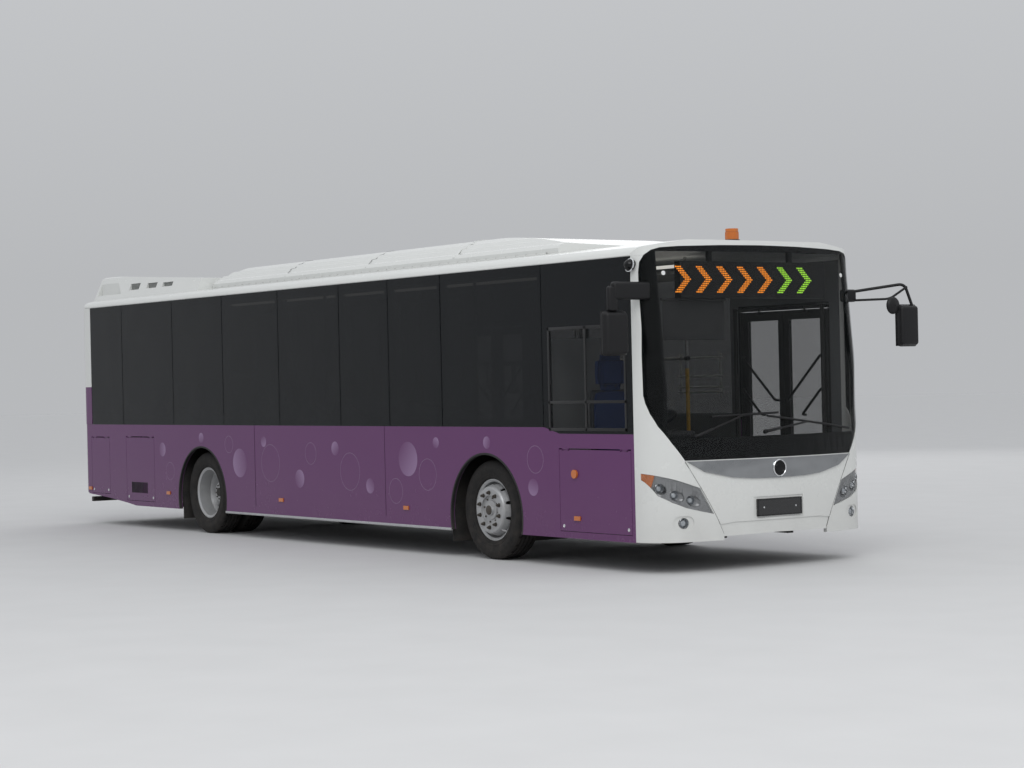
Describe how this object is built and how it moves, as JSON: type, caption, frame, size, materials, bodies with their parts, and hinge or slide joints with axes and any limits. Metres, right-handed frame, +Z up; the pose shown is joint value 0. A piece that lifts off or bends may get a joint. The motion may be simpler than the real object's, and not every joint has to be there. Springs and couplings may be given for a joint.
{
  "type": "airport passenger bus",
  "caption": "Low-entry single-deck airport passenger bus with bonded dark side glass, roof air conditioner and pod, two double-leaf doors on its left side and opening service flaps.",
  "frame": {"origin": "on the ground below the middle of the bus, at mid length on its centre line", "axes": "+X towards the front, +Y towards the bus's left side, +Z up"},
  "size_m": [12.0399, 3.5, 3.196],
  "materials": {
    "black_steel": "matt black",
    "floor_grey": "grey floor covering",
    "purple_paint": "glossy purple paint",
    "white_paint": "glossy white paint",
    "black_gloss": "gloss black",
    "clear_glass": "lightly tinted",
    "dark_glass": "dark tinted",
    "white_plastic": "white moulding",
    "lamp_clear": "clear lamp lens",
    "lamp_red": "red lamp lens",
    "lamp_amber": "amber lamp lens",
    "chrome": "bright chrome",
    "plate_black": "blank black plate",
    "black_plastic": "textured black",
    "seat_blue": "blue cloth",
    "rail_steel": "yellow powder coat",
    "grey_plastic": "grey panel",
    "cast_iron": "raw casting",
    "rubber": "black rubber",
    "silver_rim": "silver paint",
    "tyre": "worn tread",
    "black_aluminium": "black anodised"
  },
  "bodies": {
    "bus": {"chassis": "black_steel", "floor": "floor_grey", "rear_floor": "floor_grey", "wheel_boxes": "floor_grey", "right_side": "purple_paint", "left_side": "purple_paint", "roof": "white_paint", "rear_end": "purple_paint", "front_panel": "white_paint", "front_corners": "white_paint", "front_mask": "black_gloss", "windscreen": "clear_glass", "right_windows": "dark_glass", "left_windows": "dark_glass", "rear_window": "dark_glass", "air_conditioner": "white_plastic", "roof_pod": "white_plastic", "headlamps": "lamp_clear", "tail_lamps": "lamp_red", "markers": "lamp_amber", "chrome_strip": "chrome", "number_plates": "plate_black", "mirrors": "black_plastic", "wipers": "black_plastic", "destination_sign": "black_plastic", "seats": "seat_blue", "dashboard": "black_plastic", "handrails": "rail_steel", "cab_partition": "grey_plastic", "axles": "black_steel", "engine": "cast_iron", "mudflaps": "rubber"},
    "steer_right": {"knuckle_right": "black_steel"},
    "front_wheel_right": {"front_rim_right": "silver_rim", "front_tyre_right": "tyre"},
    "rear_wheel_right": {"rear_rim_right": "silver_rim", "rear_tyres_right": "tyre"},
    "steer_left": {"knuckle_left": "black_steel"},
    "front_wheel_left": {"front_rim_left": "silver_rim", "front_tyre_left": "tyre"},
    "rear_wheel_left": {"rear_rim_left": "silver_rim", "rear_tyres_left": "tyre"},
    "front_arms_a": {"front_door_arms_a": "black_steel"},
    "front_leaf_a_body": {"front_leaf_a": "black_aluminium", "front_glass_a": "dark_glass"},
    "front_arms_b": {"front_door_arms_b": "black_steel"},
    "front_leaf_b_body": {"front_leaf_b": "black_aluminium", "front_glass_b": "dark_glass"},
    "middle_arms_a": {"middle_door_arms_a": "black_steel"},
    "middle_leaf_a_body": {"middle_leaf_a": "black_aluminium", "middle_glass_a": "dark_glass"},
    "middle_arms_b": {"middle_door_arms_b": "black_steel"},
    "middle_leaf_b_body": {"middle_leaf_b": "black_aluminium", "middle_glass_b": "dark_glass"},
    "locker_flap_body": {"locker_flap": "purple_paint", "flap_lamps": "lamp_amber"},
    "rear_flap_body": {"rear_flap": "purple_paint"},
    "vent_flap_body": {"vent_flap": "purple_paint"},
    "engine_lid_body": {"engine_lid": "purple_paint"}
  },
  "joints": [
    {"name": "steer_right_turn", "type": "hinge", "parent": "bus", "child": "steer_right", "pos_m": [3.232, -0.9, 0.478], "axis": [0, 0, 1], "range_deg": [-42, 42]},
    {"name": "front_wheel_right_spin", "type": "hinge", "parent": "steer_right", "child": "front_wheel_right", "pos_m": [3.232, -1.0775, 0.478], "axis": [0, 1, 0], "continuous": true},
    {"name": "rear_wheel_right_spin", "type": "hinge", "parent": "bus", "child": "rear_wheel_right", "pos_m": [-2.676, -1.0775, 0.478], "axis": [0, 1, 0], "continuous": true},
    {"name": "steer_left_turn", "type": "hinge", "parent": "bus", "child": "steer_left", "pos_m": [3.232, 0.9, 0.478], "axis": [0, 0, 1], "range_deg": [-42, 42]},
    {"name": "front_wheel_left_spin", "type": "hinge", "parent": "steer_left", "child": "front_wheel_left", "pos_m": [3.232, 1.0775, 0.478], "axis": [0, 1, 0], "continuous": true},
    {"name": "rear_wheel_left_spin", "type": "hinge", "parent": "bus", "child": "rear_wheel_left", "pos_m": [-2.676, 1.0775, 0.478], "axis": [0, 1, 0], "continuous": true},
    {"name": "front_arms_a_turn", "type": "hinge", "parent": "bus", "child": "front_arms_a", "pos_m": [5.37194, 1.16291, 0.4], "axis": [0, 0, 1], "range_deg": [0, 84]},
    {"name": "front_leaf_a_turn", "type": "hinge", "parent": "front_arms_a", "child": "front_leaf_a_body", "pos_m": [5.0765, 1.215, 0.45], "axis": [0, 0, -1], "range_deg": [0, 168]},
    {"name": "front_arms_b_turn", "type": "hinge", "parent": "bus", "child": "front_arms_b", "pos_m": [4.13206, 1.16291, 0.4], "axis": [0, 0, -1], "range_deg": [0, 84]},
    {"name": "front_leaf_b_turn", "type": "hinge", "parent": "front_arms_b", "child": "front_leaf_b_body", "pos_m": [4.4275, 1.215, 0.45], "axis": [0, 0, 1], "range_deg": [0, 168]},
    {"name": "middle_arms_a_turn", "type": "hinge", "parent": "bus", "child": "middle_arms_a", "pos_m": [0.51494, 1.16291, 0.4], "axis": [0, 0, 1], "range_deg": [0, 84]},
    {"name": "middle_leaf_a_turn", "type": "hinge", "parent": "middle_arms_a", "child": "middle_leaf_a_body", "pos_m": [0.2195, 1.215, 0.45], "axis": [0, 0, -1], "range_deg": [0, 168]},
    {"name": "middle_arms_b_turn", "type": "hinge", "parent": "bus", "child": "middle_arms_b", "pos_m": [-0.72494, 1.16291, 0.4], "axis": [0, 0, -1], "range_deg": [0, 84]},
    {"name": "middle_leaf_b_turn", "type": "hinge", "parent": "middle_arms_b", "child": "middle_leaf_b_body", "pos_m": [-0.4295, 1.215, 0.45], "axis": [0, 0, 1], "range_deg": [0, 168]},
    {"name": "locker_flap_lift", "type": "hinge", "parent": "bus", "child": "locker_flap_body", "pos_m": [4.9645, -1.273, 1.084], "axis": [-1, 0, 0], "range_deg": [0, 85]},
    {"name": "rear_flap_lift", "type": "hinge", "parent": "bus", "child": "rear_flap_body", "pos_m": [-5.481, -1.273, 1.119], "axis": [-1, 0, 0], "range_deg": [0, 85]},
    {"name": "vent_flap_lift", "type": "hinge", "parent": "bus", "child": "vent_flap_body", "pos_m": [-4.323, -1.273, 1.129], "axis": [-1, 0, 0], "range_deg": [0, 85]},
    {"name": "engine_lid_lift", "type": "hinge", "parent": "bus", "child": "engine_lid_body", "pos_m": [-5.998, 0, 1.474], "axis": [0, 1, 0], "range_deg": [0, 85]}
  ],
  "couplings": [
    {"joint": "steer_left_turn", "follows": "steer_right_turn", "ratio": 1},
    {"joint": "front_leaf_a_turn", "follows": "front_arms_a_turn", "ratio": 2},
    {"joint": "front_arms_b_turn", "follows": "front_arms_a_turn", "ratio": 1},
    {"joint": "front_leaf_b_turn", "follows": "front_arms_a_turn", "ratio": 2},
    {"joint": "middle_leaf_a_turn", "follows": "middle_arms_a_turn", "ratio": 2},
    {"joint": "middle_arms_b_turn", "follows": "middle_arms_a_turn", "ratio": 1},
    {"joint": "middle_leaf_b_turn", "follows": "middle_arms_a_turn", "ratio": 2}
  ]
}
